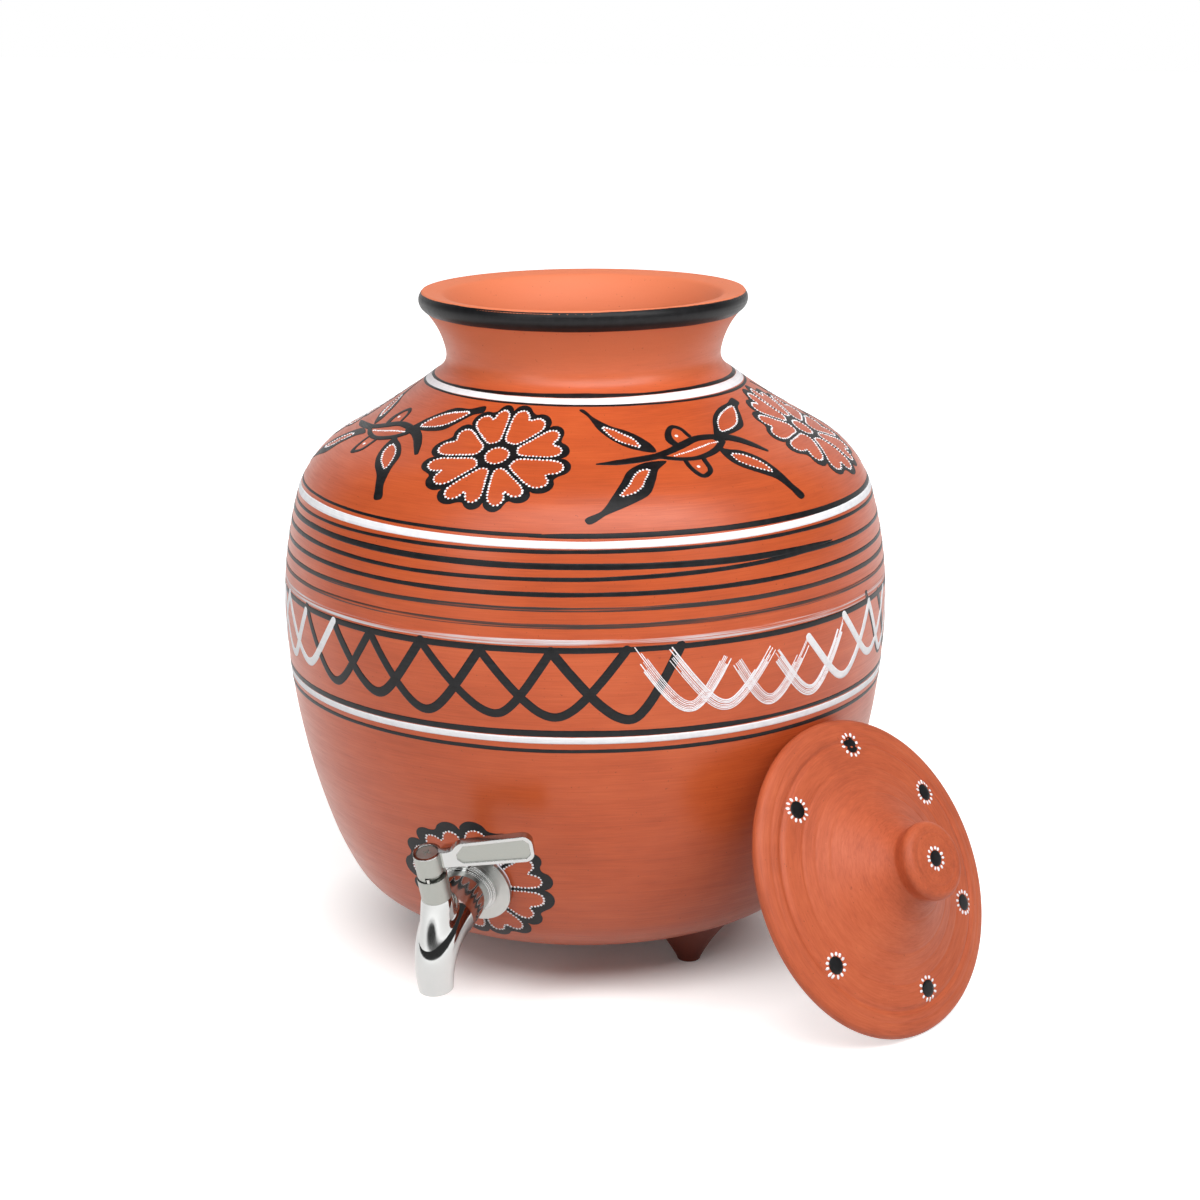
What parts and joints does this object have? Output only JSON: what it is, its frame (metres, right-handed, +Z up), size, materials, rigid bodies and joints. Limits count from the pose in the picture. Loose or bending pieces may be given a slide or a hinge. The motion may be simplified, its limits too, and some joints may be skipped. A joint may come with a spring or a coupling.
{
  "type": "clay water pot with tap",
  "caption": "Footed terracotta water pot with painted folk bands, a flared open mouth, a quarter-turn metal tap low on its front, and a loose knobbed lid leaning on its side.",
  "frame": {"origin": "on the pot's own axis, on the ground under the three feet", "axes": "+Z up along the pot's axis; -Y is the front, where the tap faces; +X to the right of someone who looks at the tap, on the side where the lid leans"},
  "size_m": [0.3654, 0.3306, 0.3266],
  "materials": {
    "painted_clay": "unglazed terracotta, brushed slip, painted black and white",
    "plain_clay": "unglazed terracotta",
    "lid_clay": "unglazed terracotta with painted spots",
    "polished_steel": "mirror polished",
    "satin_steel": "polished edges, satin panel",
    "plain_steel": "turned",
    "gasket_silicone": "matt silicone",
    "seal_rubber": "smooth",
    "ptfe": "waxy"
  },
  "bodies": {
    "pot": {"pot_body": "painted_clay", "foot_front_left": "plain_clay", "foot_front_right": "plain_clay", "foot_back": "plain_clay", "outer_gasket": "gasket_silicone", "face_plate": "polished_steel", "inner_gasket": "gasket_silicone", "nut_washer": "plain_steel", "lock_nut": "plain_steel", "tap_body": "polished_steel", "ball_seat_outer": "ptfe", "ball_seat_inner": "ptfe", "seat_retainer": "plain_steel", "thrust_washer": "ptfe", "gland_nut": "plain_steel", "stop_pin": "plain_steel"},
    "lever": {"lever": "satin_steel", "lever_screw": "plain_steel", "spring_washer": "plain_steel", "valve_stem": "plain_steel", "stem_seal_lower": "seal_rubber", "stem_seal_upper": "seal_rubber", "valve_ball": "polished_steel"},
    "lid": {"lid": "lid_clay"}
  },
  "joints": [
    {"name": "lever_turn", "type": "hinge", "parent": "pot", "child": "lever", "pos_m": [0, -0.17051, 0.08336], "axis": [0, -0.3318, 0.9434], "range_deg": [-90, 0]},
    {"name": "lid_lift", "type": "slide", "parent": "pot", "child": "lid", "axis": [0.8461, -0.2963, 0.4431], "range_m": [0, 0.2]}
  ]
}
